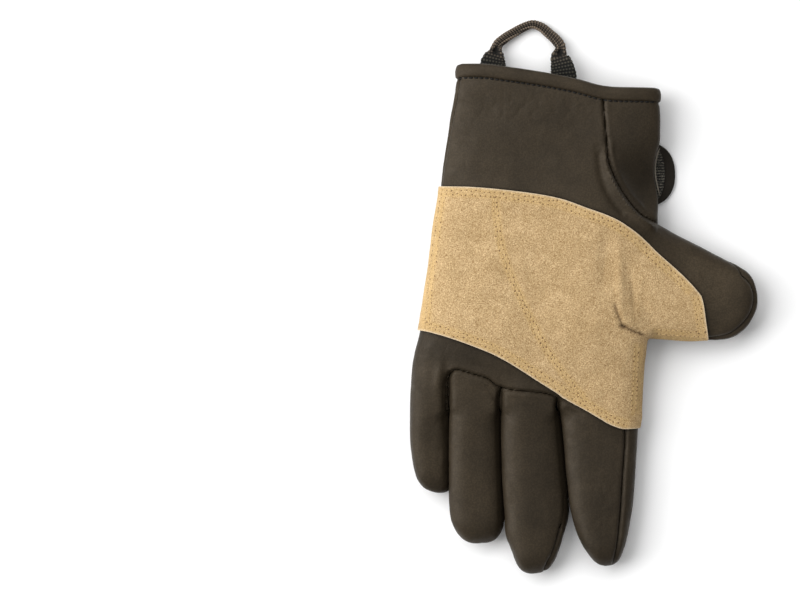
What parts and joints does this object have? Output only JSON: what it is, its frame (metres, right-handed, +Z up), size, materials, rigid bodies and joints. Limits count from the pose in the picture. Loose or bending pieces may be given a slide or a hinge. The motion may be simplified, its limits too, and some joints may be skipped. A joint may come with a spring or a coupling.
{
  "type": "climbing glove",
  "caption": "Full-finger leather climbing glove for the left hand, palm up, with a suede palm patch, a bound cuff and a hanging loop.",
  "frame": {"origin": "centre of the bounding box, on the surface that the glove lies on", "axes": "+Y from the fingertips to the cuff, +X towards the thumb, +Z up out of the palm"},
  "size_m": [0.1656, 0.2654, 0.0277],
  "materials": {
    "black_leather": "smooth goat leather, soft satin",
    "tan_suede": "napped suede, matte",
    "black_webbing": "ribbed woven tape, matte",
    "hook_tape": "moulded hooks on tape, matte",
    "loop_tape": "looped pile, matte"
  },
  "bodies": {
    "root": {"palm_panel": "black_leather", "ring_front": "black_leather", "middle_front": "black_leather", "back_panel": "black_leather", "thumb_back": "black_leather", "fourchette_little_ring": "black_leather", "fourchette_ring_middle": "black_leather", "fourchette_middle_index": "black_leather", "palm_patch": "tan_suede", "cuff_binding": "black_leather", "hanging_loop": "black_webbing", "closure_strap": "black_leather", "strap_hook_pad": "hook_tape", "wrist_loop_pad": "loop_tape"}
  },
  "joints": []
}
